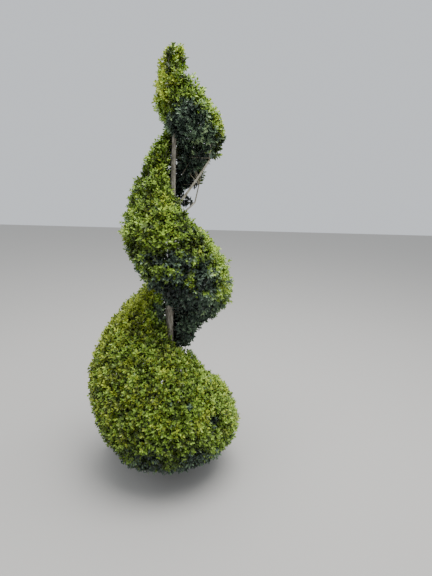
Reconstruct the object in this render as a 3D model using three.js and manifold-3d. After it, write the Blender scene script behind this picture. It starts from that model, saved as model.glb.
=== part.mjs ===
// A boxwood clipped to a spiral, rooted in the ground. One trunk runs up through the plant, two bare
// boughs cross the open groove on its right, and a band of dense foliage winds down round the trunk in
// ten masses. Millimetres, +Z up. The origin is the middle of the flat cut under the trunk, and the
// plant is seen from its front along +Y, with +X to the right.
import * as THREE from 'three';
import { mergeVertices } from 'three/addons/utils/BufferGeometryUtils.js';
import Module from 'manifold-3d';

const wasm = await Module();
wasm.setup();

// The plant and its trunk
const PLANT_HEIGHT = 1745;
const TRUNK_HEIGHT = 1690;
const TRUNK_LEAN = 18;
const TRUNK_LEAN_CURVE = 1.5;
const TRUNK_RADIUS = 24;
const TRUNK_TIP_RADIUS = 4;
const TRUNK_TAPER_CURVE = 0.85;
const TRUNK_RINGS = [12, 30, 60, 110, 300, 560, 820, 1060, 1260, 1440, 1580];
const ROOT_FLARE = 11;
const ROOT_FLARE_HEIGHT = 45;
const ROOT_RIDGES = 4;
const ROOT_RIDGE_DEPTH = 0.12;
const TRUNK_SIDES = 12;
const LIMB_CLEARANCE = 0.3;

// The band at every half turn, from over its start high on the left. A whole turn goes from the left
// round the front to the right and the back. groove is the height of the groove under the band, gap is
// half the groove's width at the trunk, reach is how far the band stands out from the trunk's middle, and
// widest is the share of the section's height where it does. upper and lower say how full the section's
// curves are: 1 is a straight slope, 2 an ellipse, and more is boxier.
const FIRST_STATION = -1;
const STATION_STEP = 0.5;
const STATIONS = [
  { groove: 1785, gap: 10, reach: 34, widest: 0.5, upper: 2.2, lower: 2.2 },
  { groove: 1614, gap: 13, reach: 40, widest: 0.5, upper: 2.4, lower: 2.2 },
  { groove: 1440, gap: 22, reach: 75, widest: 0.46, upper: 2.1, lower: 2.0 },
  { groove: 1202, gap: 118, reach: 204, widest: 0.32, upper: 1.6, lower: 1.3 },
  { groove: 832, gap: 42, reach: 198, widest: 0.36, upper: 1.5, lower: 1.6 },
  { groove: 583, gap: 84, reach: 262, widest: 0.4, upper: 1.7, lower: 2.2 },
  { groove: 160, gap: 40, reach: 340, widest: 0.42, upper: 1.65, lower: 2.3 },
  { groove: -400, gap: 40, reach: 320, widest: 0.38, upper: 1.9, lower: 2.0 },
  { groove: -900, gap: 40, reach: 310, widest: 0.38, upper: 1.9, lower: 2.0 },
];
const FIRST_TURN = -0.75;
const GROUND_CLEARANCE = 50;
const THINNEST_BAND = 24;

// The foliage: a core under the leaves, and twigs with leaves that stand out of it
const CORE_DEPTH = 58;
const CORE_DEPTH_SHARE = 0.46;
const CORE_FOOT_DEPTH = 34;
const CORE_FOOT_SHARE = 0.2;
const CORE_TRUNK_GAP = 11;
const CORE_END_GAP = 1.5;
const CORE_END_REACH_SHARE = 0.4;
const CORE_OUTER_POINTS = 9;
const CORE_INNER_POINTS = 3;
const CORE_STEPS_PER_TURN = 19;
const STEM_RADIUS = 9;
const BRANCH_RADIUS = 7;
const BRANCH_TIP_RADIUS = 3;
const BRANCH_SHARE = 0.85;
const BRANCH_STEPS = 4;
const TWIG_RADIUS = 5;
const TWIG_TIP_RADIUS = 3;
const TWIG_WOBBLE = 0.3;
const TWIG_TRIES = 2500;
const LEAVES_PER_TWIG = 3;
const LEAF_LENGTH_MIN = 42;
const LEAF_LENGTH_GAIN = 0.12;
const LEAF_WIDTH_SHARE = 0.5;
const LEAF_THICKNESS_SHARE = 0.09;
const LEAF_SPREAD = 0.85;
const LEAF_SPREAD_PLAY = 0.3;
const LEAF_ROOT_DEPTH = 3;
const LEAF_ROOT_STEP = 9;
const LEAF_TILT = 0.5;
const LEAF_RING_TRIES = 8;
const LEAF_SPACING_SHARE = 1.5;
const SPACE_MARGIN = 2.5;
const FIRST_SEED = 101;
const SEED_STEP = 17;

// The masses of foliage, by the turns that each one fills. The trunk carries those that have no bough.
const MASSES = [
  { name: 'top_foliage', from: FIRST_TURN, to: 0.2 },
  { name: 'upper_right_foliage', from: 0.2, to: 0.6, bough: 'right_front_bough' },
  { name: 'upper_back_foliage', from: 0.6, to: 1.0, bough: 'right_back_bough' },
  { name: 'middle_left_foliage', from: 1.0, to: 1.3 },
  { name: 'middle_right_foliage', from: 1.3, to: 1.6 },
  { name: 'middle_back_foliage', from: 1.6, to: 1.9 },
  { name: 'lower_left_foliage', from: 1.9, to: 2.15 },
  { name: 'lower_front_foliage', from: 2.15, to: 2.4 },
  { name: 'lower_right_foliage', from: 2.4, to: 2.65 },
  { name: 'lower_back_foliage', from: 2.65, to: 2.95 },
];

// The bare boughs: where each one leaves the trunk, and the turn, distance and height of its tip
const BOUGHS = [
  { name: 'right_front_bough', rootHeight: 1135, tipTurn: 0.47, tipReach: 138, tipHeight: 1340, radius: 5.5 },
  { name: 'right_back_bough', rootHeight: 1105, tipTurn: 0.61, tipReach: 120, tipHeight: 1170, radius: 4.8 },
];
const BOUGH_TAPER = 0.62;
const BOUGH_SAG = 10;
const BOUGH_SIDES = 7;
const BOUGH_STEPS = 6;

const material = (color, roughness) => new THREE.MeshStandardMaterial({ color, roughness, metalness: 0 });
const BARK = material('#8d8574', 0.85);
const BOUGH_BARK = material('#a39c8a', 0.85);
const LEAF_GREEN = material('#4c6424', 0.55);

const TAU = 2 * Math.PI;
const MERGE_DISTANCE = 1e-3;

// A seeded row of numbers from 0 to 1, the same on every run
function seededNumbers(seed) {
  const range = 2 ** 32;
  let state = seed;
  return () => {
    state = (state * 1664525 + 1013904223) % range;
    return state / range;
  };
}

// One of the band's measures at any turn, on a smooth curve through the stations
function bandMeasure(key, turn) {
  const place = (turn - FIRST_STATION) / STATION_STEP;
  const index = Math.floor(place);
  const at = (i) => STATIONS[THREE.MathUtils.clamp(i, 0, STATIONS.length - 1)][key];
  const [before, start, end, after] = [at(index - 1), at(index), at(index + 1), at(index + 2)];
  const u = place - index;
  const slope = (end - before) * u;
  const bend = (2 * before - 5 * start + 4 * end - after) * u * u;
  const swing = (3 * start - before - 3 * end + after) * u * u * u;
  return 0.5 * (2 * start + slope + bend + swing);
}

const bandFoot = (turn) =>
  Math.max(GROUND_CLEARANCE, bandMeasure('groove', turn) + bandMeasure('gap', turn));

function bandTop(turn) {
  const above = turn - 1;
  const ceiling = above < FIRST_TURN
    ? PLANT_HEIGHT
    : bandMeasure('groove', above) - bandMeasure('gap', above);
  return Math.max(Math.min(PLANT_HEIGHT, ceiling), bandFoot(turn) + THINNEST_BAND);
}

// The trunk leans to the right as it rises
const trunkOffset = (height) => TRUNK_LEAN * (Math.max(0, height) / PLANT_HEIGHT) ** TRUNK_LEAN_CURVE;

function trunkRadius(height) {
  const share = THREE.MathUtils.clamp(height / TRUNK_HEIGHT, 0, 1);
  const taper = TRUNK_TIP_RADIUS + (TRUNK_RADIUS - TRUNK_TIP_RADIUS) * (1 - share) ** TRUNK_TAPER_CURVE;
  return taper + ROOT_FLARE * Math.exp(-Math.max(0, height) / ROOT_FLARE_HEIGHT);
}

// A point at a turn, a distance from the trunk's middle and a height: turn 0 is on the left
function placeRound(turn, radius, height) {
  const angle = Math.PI + TAU * turn;
  const x = trunkOffset(height) + radius * Math.cos(angle);
  return new THREE.Vector3(x, radius * Math.sin(angle), height);
}

// The band's section at one turn: across goes from -1 at its foot to 1 at its top, with the widest
// place at 0, and inset is how far the curve lies under the leaves' tips
function sectionPoint(turn, across, inset = { reach: 0, height: 0 }) {
  const foot = bandFoot(turn);
  const top = bandTop(turn);
  const widest = foot + bandMeasure('widest', turn) * (top - foot);
  const rising = across >= 0;
  const fullness = 2 / bandMeasure(rising ? 'upper' : 'lower', turn);
  const height = rising ? top - widest - inset.height : foot - widest + inset.height;
  const angle = Math.abs(across) * Math.PI / 2;
  const level = widest + height * Math.sin(angle) ** fullness;
  const inner = trunkRadius(level) + CORE_TRUNK_GAP;
  const outer = Math.max(bandMeasure('reach', turn) - inset.reach, inner + 1);
  return { radius: inner + (outer - inner) * Math.cos(angle) ** fullness, height: level };
}

const bandPoint = (turn, across, inset) => {
  const { radius, height } = sectionPoint(turn, across, inset);
  return placeRound(turn, radius, height);
};

// A closed three.js geometry as a solid that can be joined and cut
function solidOf(geometry) {
  const plain = geometry.clone();
  plain.deleteAttribute('normal');
  plain.deleteAttribute('uv');
  const merged = mergeVertices(plain, MERGE_DISTANCE);
  const place = merged.attributes.position;
  const corners = [...merged.index.array];
  const kept = [];
  for (let i = 0; i < corners.length; i += 3) {
    const [a, b, c] = corners.slice(i, i + 3);
    if (a !== b && b !== c && c !== a) kept.push([a, b, c]);
  }
  const point = (i) => new THREE.Vector3().fromBufferAttribute(place, i);
  const volume = kept.reduce((sum, [a, b, c]) => sum + point(a).dot(point(b).cross(point(c))), 0);
  const triVerts = new Uint32Array(kept.flatMap(([a, b, c]) => (volume > 0 ? [a, b, c] : [a, c, b])));
  const vertProperties = new Float32Array(place.array);
  return new wasm.Manifold(new wasm.Mesh({ numProp: 3, vertProperties, triVerts }));
}

// The largest body of a joined solid, as a mesh: loose scraps and sealed hollows are left behind
function meshOf(solid, name, look) {
  const body = solid.decompose().reduce((best, piece) => (piece.volume() > best.volume() ? piece : best));
  const { vertProperties, triVerts, numProp } = body.getMesh();
  const positions = [];
  for (let i = 0; i < vertProperties.length; i += numProp) positions.push(...vertProperties.slice(i, i + 3));
  const geometry = new THREE.BufferGeometry();
  geometry.setAttribute('position', new THREE.Float32BufferAttribute(positions, 3));
  geometry.setIndex([...triVerts]);
  geometry.computeVertexNormals();
  const mesh = new THREE.Mesh(geometry, look);
  mesh.name = name;
  return mesh;
}

// Every corner of a plain geometry moved to where the shape wants it
function reshaped(geometry, place) {
  const position = geometry.attributes.position;
  for (let i = 0; i < position.count; i += 1) {
    const moved = place(new THREE.Vector3().fromBufferAttribute(position, i));
    position.setXYZ(i, moved.x, moved.y, moved.z);
  }
  return geometry;
}

// A limb that tapers along a curve
function limb(curve, rootRadius, tipRadius, sides, steps) {
  const { normals, binormals } = curve.computeFrenetFrames(steps);
  return reshaped(new THREE.CylinderGeometry(1, 1, 1, sides, steps), (corner) => {
    const share = corner.y + 0.5;
    const step = Math.round(share * steps);
    const radius = rootRadius + (tipRadius - rootRadius) * share;
    return curve.getPoint(share)
      .addScaledVector(normals[step], radius * corner.x)
      .addScaledVector(binormals[step], radius * corner.z);
  });
}

// The trunk, with a grown copy to cut what has to stay clear of it
function trunkSolid(growth = 0) {
  const profile = [new THREE.Vector2(0, -growth), new THREE.Vector2(trunkRadius(0) + growth, -growth)];
  for (const height of TRUNK_RINGS) {
    profile.push(new THREE.Vector2(trunkRadius(height) + growth, height));
  }
  profile.push(new THREE.Vector2(0, TRUNK_HEIGHT + growth));
  const turned = new THREE.LatheGeometry(profile, TRUNK_SIDES);
  return solidOf(reshaped(turned, ({ x, y, z }) => {
    const ridge = 1 + ROOT_RIDGE_DEPTH * Math.cos(ROOT_RIDGES * Math.atan2(z, x))
      * Math.exp(-Math.max(0, y) / ROOT_FLARE_HEIGHT);
    return new THREE.Vector3(trunkOffset(y) + x * ridge, -z * ridge, y);
  }));
}

// A bough rises from the trunk and sags a little on its way to its tip. The grown copy is longer too.
function boughCurve({ rootHeight, tipTurn, tipReach, tipHeight }, growth = 0) {
  const root = placeRound(tipTurn, 0, rootHeight);
  const tip = placeRound(tipTurn, tipReach, tipHeight);
  const middle = root.clone().lerp(tip, 0.5);
  middle.z -= BOUGH_SAG;
  tip.addScaledVector(tip.clone().sub(middle).normalize(), growth);
  return new THREE.QuadraticBezierCurve3(root, middle, tip);
}

function boughSolid(bough, growth = 0) {
  const root = bough.radius + growth;
  const tip = bough.radius * BOUGH_TAPER + growth;
  return solidOf(limb(boughCurve(bough, growth), root, tip, BOUGH_SIDES, BOUGH_STEPS));
}

// How deep the core lies under the leaves' tips
function coreInset(turn) {
  const room = bandMeasure('reach', turn) - trunkRadius(bandFoot(turn)) - CORE_TRUNK_GAP;
  const height = Math.min(CORE_FOOT_DEPTH, CORE_FOOT_SHARE * (bandTop(turn) - bandFoot(turn)));
  return { reach: Math.min(CORE_DEPTH, CORE_DEPTH_SHARE * room), height };
}

// The core's section as a closed loop of points, up the outside and down along the trunk
function coreLoop(turn) {
  const inset = coreInset(turn);
  const loop = [];
  for (let i = 0; i < CORE_OUTER_POINTS; i += 1) {
    loop.push(bandPoint(turn, -1 + (2 * i) / (CORE_OUTER_POINTS - 1), inset));
  }
  const top = sectionPoint(turn, 1, inset);
  const foot = sectionPoint(turn, -1, inset);
  for (let i = 1; i <= CORE_INNER_POINTS; i += 1) {
    const height = THREE.MathUtils.lerp(top.height, foot.height, i / (CORE_INNER_POINTS + 1));
    loop.push(placeRound(turn, trunkRadius(height) + CORE_TRUNK_GAP, height));
  }
  return loop;
}

// The core is a plain cylinder bent along the band: its sides become the loop of the section
function coreSolid({ from, to }) {
  const sides = CORE_OUTER_POINTS + CORE_INNER_POINTS;
  const steps = Math.ceil((to - from) * CORE_STEPS_PER_TURN);
  const margin = (turn) => CORE_END_GAP / (TAU * bandMeasure('reach', turn) * CORE_END_REACH_SHARE);
  const start = from + margin(from);
  const end = to - margin(to);
  return solidOf(reshaped(new THREE.CylinderGeometry(1, 1, 1, sides, steps), ({ x, y, z }) => {
    const turn = THREE.MathUtils.lerp(start, end, y + 0.5);
    const loop = coreLoop(turn);
    if (Math.hypot(x, z) < 0.5) {
      return loop.reduce((sum, point) => sum.add(point), new THREE.Vector3()).divideScalar(sides);
    }
    const side = Math.round((Math.atan2(x, z) / TAU) * sides);
    return loop[(side + sides) % sides];
  }));
}

// Whether a point lies in the space that belongs to a mass, near the turn given
function inSpace(point, mass, nearTurn) {
  const dx = point.x - trunkOffset(point.z);
  const reach = Math.hypot(dx, point.y);
  const raw = (Math.atan2(point.y, dx) - Math.PI) / TAU;
  const turn = raw + Math.round(nearTurn - raw);
  const endGap = Math.min(turn - mass.from, mass.to - turn) * TAU * reach;
  const floor = Math.max(bandMeasure('groove', turn), 0) + SPACE_MARGIN;
  const above = turn - 1;
  const ceiling = above < FIRST_TURN ? PLANT_HEIGHT : bandMeasure('groove', above) - SPACE_MARGIN;
  return endGap > SPACE_MARGIN
    && reach > trunkRadius(point.z) + SPACE_MARGIN
    && point.z > floor
    && point.z < ceiling;
}

function clearOfBoughs(point, gap) {
  return BOUGHS.every((bough) => {
    const line = boughCurve(bough).getPoints(BOUGH_STEPS * 2);
    return line.every((spot) => spot.distanceTo(point) > bough.radius + gap);
  });
}

// A leaf is a flat eight-faced blade. It points along aim and shows its broad face to the outside.
function leafShape(root, aim, outward, length) {
  const side = new THREE.Vector3().crossVectors(aim, outward).normalize();
  const face = new THREE.Vector3().crossVectors(side, aim).normalize();
  const middle = root.clone().addScaledVector(aim, length / 2);
  const halfWidth = LEAF_WIDTH_SHARE * length / 2;
  const blade = new THREE.OctahedronGeometry(1);
  blade.scale(halfWidth, length / 2, LEAF_THICKNESS_SHARE * length / 2);
  blade.applyMatrix4(new THREE.Matrix4().makeBasis(side, aim, face).setPosition(middle));
  const corners = [
    root.clone().addScaledVector(aim, length),
    middle.clone().addScaledVector(side, halfWidth),
    middle.clone().addScaledVector(side, -halfWidth),
  ];
  return { solid: solidOf(blade), corners };
}

// The tips of a mass's twigs, spread evenly over the band's outline by throwing seeded darts
function twigTips(mass, random) {
  const tips = [];
  for (let i = 0; i < TWIG_TRIES; i += 1) {
    const turn = THREE.MathUtils.lerp(mass.from, mass.to, random());
    const tip = bandPoint(turn, random() * 2 - 1);
    const length = LEAF_LENGTH_MIN + LEAF_LENGTH_GAIN * bandMeasure('reach', turn);
    const apart = tips.every((other) => other.tip.distanceTo(tip) > LEAF_SPACING_SHARE * length);
    if (apart) tips.push({ turn, tip, length });
  }
  return tips;
}

const boughOf = (mass) => BOUGHS.find(({ name }) => name === mass.bough);

// The turn where a mass's stem ends and its two branches start
const stemTurn = (mass) => (mass.bough ? boughOf(mass).tipTurn : (mass.from + mass.to) / 2);

// The middle of the core's section, where the branches inside the mass run
function heartPoint(turn) {
  const foot = bandFoot(turn);
  const height = foot + bandMeasure('widest', turn) * (bandTop(turn) - foot);
  const inner = trunkRadius(height) + CORE_TRUNK_GAP;
  return placeRound(turn, (inner + bandMeasure('reach', turn) - coreInset(turn).reach) / 2, height);
}

// The leaves round the end of a twig, splayed outwards
function twigLeaves(twigEnd, outward, length, random) {
  const start = random() * TAU;
  const across = new THREE.Vector3(0, 0, 1).cross(outward).normalize();
  const leaves = [];
  for (let i = 0; i < LEAVES_PER_TWIG; i += 1) {
    const spread = LEAF_SPREAD + LEAF_SPREAD_PLAY * (random() - 0.5);
    const round = start + (i * TAU) / LEAVES_PER_TWIG;
    const hinge = across.clone().applyAxisAngle(outward, round);
    const aim = outward.clone().applyAxisAngle(hinge, spread);
    const face = outward.clone().applyAxisAngle(aim, LEAF_TILT * (random() - 0.5));
    const depth = LEAF_ROOT_DEPTH + i * LEAF_ROOT_STEP;
    leaves.push(leafShape(twigEnd.clone().addScaledVector(outward, -depth), aim, face, length));
  }
  return leaves;
}

// A twig forks from the branch inside the mass and ends short of the outline, so that its leaves reach it
function twigShape(mass, { turn, tip, length }, random) {
  const fork = heartPoint(THREE.MathUtils.lerp(stemTurn(mass), turn, BRANCH_SHARE));
  const outward = tip.clone().sub(fork);
  const reach = outward.length() - length * Math.cos(LEAF_SPREAD);
  outward.normalize();
  outward.x += TWIG_WOBBLE * (random() - 0.5);
  outward.y += TWIG_WOBBLE * (random() - 0.5);
  outward.z += TWIG_WOBBLE * (random() - 0.5);
  outward.normalize();
  const end = fork.clone().addScaledVector(outward, reach);
  const isFree = (point) => inSpace(point, mass, turn) && clearOfBoughs(point, 2 * SPACE_MARGIN);
  let leaves = [];
  for (let i = 0; i < LEAF_RING_TRIES && leaves.length < LEAVES_PER_TWIG; i += 1) {
    const ring = twigLeaves(end, outward, length, random).filter(({ corners }) => corners.every(isFree));
    if (ring.length > leaves.length) leaves = ring;
  }
  const twig = solidOf(limb(new THREE.LineCurve3(fork, end), TWIG_RADIUS, TWIG_TIP_RADIUS, 3, 1));
  return isFree(end) && leaves.length > 0 ? [twig, ...leaves.map(({ solid }) => solid)] : [];
}

// The wood inside a mass: a stem that meets the trunk or the tip of the mass's bough, and two branches
// that run from its end along the middle of the core
function woodShapes(mass) {
  const bough = boughOf(mass);
  const forkTurn = stemTurn(mass);
  const fork = heartPoint(forkTurn);
  const root = bough
    ? placeRound(bough.tipTurn, bough.tipReach, bough.tipHeight)
    : placeRound(forkTurn, 0, fork.z);
  const rootRadius = bough ? bough.radius * BOUGH_TAPER : STEM_RADIUS;
  const stem = limb(new THREE.LineCurve3(root, fork), rootRadius, BRANCH_RADIUS, BOUGH_SIDES, 1);
  const branches = [mass.from, mass.to].map((endTurn) => {
    const points = [];
    for (let i = 0; i <= BRANCH_STEPS; i += 1) {
      points.push(heartPoint(THREE.MathUtils.lerp(forkTurn, endTurn, (BRANCH_SHARE * i) / BRANCH_STEPS)));
    }
    const line = new THREE.CatmullRomCurve3(points);
    return limb(line, BRANCH_RADIUS, BRANCH_TIP_RADIUS, BOUGH_SIDES, BRANCH_STEPS);
  });
  return [stem, ...branches].map(solidOf);
}

// One mass: its core, the wood in it, and twigs with leaves that stand out of the core, all cut clear of
// the trunk and the boughs
function massSolid(mass, seed, limbs) {
  const random = seededNumbers(seed);
  let solid = coreSolid(mass);
  for (const piece of woodShapes(mass)) solid = solid.add(piece);
  for (const tip of twigTips(mass, random)) {
    for (const piece of twigShape(mass, tip, random)) solid = solid.add(piece);
  }
  for (const cutter of limbs) solid = solid.subtract(cutter);
  return solid;
}

const plant = new THREE.Group();
plant.add(meshOf(trunkSolid(), 'trunk', BARK));
const limbs = [trunkSolid(LIMB_CLEARANCE)];
for (const bough of BOUGHS) {
  plant.add(meshOf(boughSolid(bough).subtract(limbs[0]), bough.name, BOUGH_BARK));
  limbs.push(boughSolid(bough, LIMB_CLEARANCE));
}
MASSES.forEach((mass, index) => {
  plant.add(meshOf(massSolid(mass, FIRST_SEED + SEED_STEP * index, limbs), mass.name, LEAF_GREEN));
});

export default plant;
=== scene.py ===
import math

import bpy
import numpy as np
from mathutils import Matrix, Vector, noise


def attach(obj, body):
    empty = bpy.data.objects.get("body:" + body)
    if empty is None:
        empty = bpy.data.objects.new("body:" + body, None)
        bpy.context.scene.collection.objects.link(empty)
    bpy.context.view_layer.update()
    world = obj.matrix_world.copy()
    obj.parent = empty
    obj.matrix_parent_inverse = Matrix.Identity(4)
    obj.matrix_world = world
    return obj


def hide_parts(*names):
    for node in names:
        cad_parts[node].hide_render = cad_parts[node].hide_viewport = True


# A boxwood clipped to a spiral, dressed around its frame. Metres, +Z up, seen from its front along +Y,
# with +X to the right. The origin is the middle of the flat cut under the trunk.
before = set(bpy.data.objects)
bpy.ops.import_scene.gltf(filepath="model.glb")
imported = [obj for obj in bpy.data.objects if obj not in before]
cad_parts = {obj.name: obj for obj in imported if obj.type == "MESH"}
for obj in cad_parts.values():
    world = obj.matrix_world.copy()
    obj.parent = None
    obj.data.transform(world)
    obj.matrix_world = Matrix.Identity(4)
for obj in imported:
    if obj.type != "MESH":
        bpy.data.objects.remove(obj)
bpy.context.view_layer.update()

# The camera
# The view is from a standing person's chest, in front of the plant and a little higher than its middle,
# tipped down so that the foot shows, with the plant left of the picture's middle.
PICTURE_HEIGHT = 576
FOCAL_PIXELS = 475
SENSOR_SIZE = 36
EYE = (0, -1.90, 1.36)
LOOK_DOWN = math.radians(15.6)
LOOK_RIGHT = math.radians(5.9)
CAMERA_ROLL = math.radians(2.4)

level_ahead = Vector((math.sin(LOOK_RIGHT), math.cos(LOOK_RIGHT), 0))
level_right = Vector((math.cos(LOOK_RIGHT), -math.sin(LOOK_RIGHT), 0))
ahead = level_ahead * math.cos(LOOK_DOWN) - Vector((0, 0, math.sin(LOOK_DOWN)))
above = level_right.cross(ahead)
camera_right = level_right * math.cos(CAMERA_ROLL) + above * math.sin(CAMERA_ROLL)
camera_up = above * math.cos(CAMERA_ROLL) - level_right * math.sin(CAMERA_ROLL)
camera = bpy.data.objects.new("camera", bpy.data.cameras.new("camera"))
camera.data.sensor_width = SENSOR_SIZE
camera.data.lens = FOCAL_PIXELS * SENSOR_SIZE / PICTURE_HEIGHT
camera.matrix_world = Matrix((camera_right, camera_up, -ahead)).transposed().to_4x4()
camera.location = EYE
bpy.context.scene.collection.objects.link(camera)
bpy.context.scene.camera = camera

# The trunk
# One stem of slow-grown boxwood runs from the flat cut at the ground to its tip inside the crown. Its
# bark is thin and pale grey-beige, split by shallow furrows into narrow flakes, and it flares at the root.
# A bark's three colours, here and on the boughs and twigs, are its furrows, its flakes and their pale crests.
PLANT_HEIGHT = 1.745
TRUNK_HEIGHT = 1.690
TRUNK_LEAN = 0.018
TRUNK_LEAN_CURVE = 1.5
TRUNK_RADIUS = 0.024
TRUNK_TIP_RADIUS = 0.004
TRUNK_TAPER_CURVE = 0.85
ROOT_FLARE = 0.011
ROOT_FLARE_HEIGHT = 0.045
ROOT_RIDGES = 4
ROOT_RIDGE_DEPTH = 0.12
TRUNK_SIDES = 48
TRUNK_RINGS = 300
FLAKES_ROUND = 4.2
FLAKES_PER_METRE = 26
FURROW_SHARE = 0.075
FURROW_WIDTH = 0.22
GRAIN_SHARE = 0.3
SWELLING_SHARE = 0.07
SWELLINGS_PER_METRE = 7
BARK_ROUGHNESS = 0.85
BARK_STRETCH = 0.3
BARK_MOTTLE_SCALE = 150
BARK_MOTTLE_DETAIL = 6
BARK_MOTTLE_ROUGHNESS = 0.65
FURROW_LEVEL = 0.36
FLAKE_LEVEL = 0.5
PALE_LEVEL = 0.66
BARK_BUMP_STRENGTH = 0.5
BARK_BUMP_DISTANCE = 0.001
OLD_BARK_COLOURS = ((0.13, 0.115, 0.09, 1), (0.29, 0.26, 0.21, 1), (0.46, 0.43, 0.36, 1))
TAU = 2 * math.pi


def trunk_offset(height):
    """How far the trunk's axis has leant to the right at a height"""
    return TRUNK_LEAN * (np.maximum(0, height) / PLANT_HEIGHT) ** TRUNK_LEAN_CURVE


def trunk_radius(height):
    share = np.clip(height / TRUNK_HEIGHT, 0, 1)
    taper = TRUNK_TIP_RADIUS + (TRUNK_RADIUS - TRUNK_TIP_RADIUS) * (1 - share) ** TRUNK_TAPER_CURVE
    return taper + ROOT_FLARE * np.exp(-np.maximum(0, height) / ROOT_FLARE_HEIGHT)


def bark_relief(lengths, sides, shift):
    """The bark's height as a share of the limb's radius: flakes parted by furrows, on slow swellings"""
    relief = np.zeros((len(lengths), sides))
    for ring, length in enumerate(lengths):
        for side in range(sides):
            angle = TAU * side / sides
            x = math.cos(angle) + shift
            y = math.sin(angle)
            flake = noise.noise(Vector((x * FLAKES_ROUND, y * FLAKES_ROUND, length * FLAKES_PER_METRE)))
            grain = noise.noise(Vector((x, y, length)) * FLAKES_ROUND * FLAKES_ROUND)
            swelling = noise.noise(Vector((x, y, length * SWELLINGS_PER_METRE)))
            furrow = min(1, abs(flake) / FURROW_WIDTH) - 1 + GRAIN_SHARE * grain
            relief[ring, side] = FURROW_SHARE * furrow + SWELLING_SHARE * swelling
    return relief


def limb_mesh(name, centres, radii, first_axes, second_axes):
    """A closed limb from rings of points: radii holds one radius for each side of each ring"""
    rings, sides = radii.shape
    angles = TAU * np.arange(sides) / sides
    outward = np.cos(angles)[None, :, None] * first_axes[:, None] + \
        np.sin(angles)[None, :, None] * second_axes[:, None]
    points = centres[:, None] + radii[:, :, None] * outward
    corners = np.concatenate([points.reshape(-1, 3), centres[:1], centres[-1:]])
    faces = []
    for side in range(sides):
        beside = (side + 1) % sides
        faces.append((beside, side, rings * sides))
        last = (rings - 1) * sides
        faces.append((last + side, last + beside, rings * sides + 1))
        for ring in range(rings - 1):
            row = ring * sides
            faces.append((row + side, row + beside, row + sides + beside, row + sides + side))
    mesh = bpy.data.meshes.new(name)
    mesh.from_pydata(corners.tolist(), [], faces)
    mesh.shade_smooth()
    limb = bpy.data.objects.new(name, mesh)
    bpy.context.scene.collection.objects.link(limb)
    return limb


def bark_material(name, furrow_colour, flake_colour, pale_colour):
    """Dull bark: colour and grain follow noise drawn out along the limb"""
    material = bpy.data.materials.new(name)
    material.use_nodes = True
    nodes = material.node_tree.nodes
    links = material.node_tree.links
    shader = nodes["Principled BSDF"]
    shader.inputs["Roughness"].default_value = BARK_ROUGHNESS
    place = nodes.new("ShaderNodeTexCoord")
    stretch = nodes.new("ShaderNodeMapping")
    stretch.inputs["Scale"].default_value = (1, 1, BARK_STRETCH)
    flakes = nodes.new("ShaderNodeTexNoise")
    flakes.inputs["Scale"].default_value = BARK_MOTTLE_SCALE
    flakes.inputs["Detail"].default_value = BARK_MOTTLE_DETAIL
    flakes.inputs["Roughness"].default_value = BARK_MOTTLE_ROUGHNESS
    tones = nodes.new("ShaderNodeValToRGB")
    tones.color_ramp.elements[0].position = FURROW_LEVEL
    tones.color_ramp.elements[0].color = furrow_colour
    tones.color_ramp.elements[1].position = PALE_LEVEL
    tones.color_ramp.elements[1].color = pale_colour
    middle = tones.color_ramp.elements.new(FLAKE_LEVEL)
    middle.color = flake_colour
    bump = nodes.new("ShaderNodeBump")
    bump.inputs["Strength"].default_value = BARK_BUMP_STRENGTH
    bump.inputs["Distance"].default_value = BARK_BUMP_DISTANCE
    links.new(place.outputs["Object"], stretch.inputs["Vector"])
    links.new(stretch.outputs["Vector"], flakes.inputs["Vector"])
    links.new(flakes.outputs["Fac"], tones.inputs["Fac"])
    links.new(flakes.outputs["Fac"], bump.inputs["Height"])
    links.new(tones.outputs["Color"], shader.inputs["Base Color"])
    links.new(bump.outputs["Normal"], shader.inputs["Normal"])
    return material


trunk_heights = np.linspace(0, TRUNK_HEIGHT, TRUNK_RINGS)
trunk_centres = np.stack([trunk_offset(trunk_heights), 0 * trunk_heights, trunk_heights], 1)
trunk_angles = TAU * np.arange(TRUNK_SIDES) / TRUNK_SIDES
flare = np.exp(-trunk_heights / ROOT_FLARE_HEIGHT)
root_ridges = 1 + ROOT_RIDGE_DEPTH * flare[:, None] * np.cos(ROOT_RIDGES * trunk_angles)
trunk_radii = trunk_radius(trunk_heights)[:, None] * root_ridges
trunk_radii *= 1 + bark_relief(trunk_heights, TRUNK_SIDES, shift=0)
trunk = limb_mesh("spiral_trunk", trunk_centres, trunk_radii,
                  np.tile((1.0, 0, 0), (TRUNK_RINGS, 1)), np.tile((0, 1.0, 0), (TRUNK_RINGS, 1)))
old_bark = bark_material("old_bark", *OLD_BARK_COLOURS)
trunk.data.materials.append(old_bark)
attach(trunk, "root")
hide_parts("trunk")

# The two bare boughs
# Younger limbs with smooth pale bark cross the open groove on the right. Each one leaves the trunk with a
# thick collar, sags a little, and rises to the mass of foliage that it carries.
BOUGHS = {
    "right_front_bough": {"root_height": 1.135, "turn": 0.47, "reach": 0.138, "height": 1.340,
                          "radius": 0.0055},
    "right_back_bough": {"root_height": 1.105, "turn": 0.61, "reach": 0.120, "height": 1.170,
                         "radius": 0.0048},
}
BOUGH_TAPER = 0.62
BOUGH_SAG = 0.010
BOUGH_SIDES = 24
BOUGH_RINGS = 80
COLLAR_SHARE = 0.7
COLLAR_LENGTH_SHARE = 0.09
BOUGH_RELIEF_SHARE = 0.6
PALE_BARK_COLOURS = ((0.24, 0.21, 0.16, 1), (0.42, 0.38, 0.30, 1), (0.58, 0.54, 0.45, 1))
SHORTEST_VECTOR = 1e-9


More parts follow.
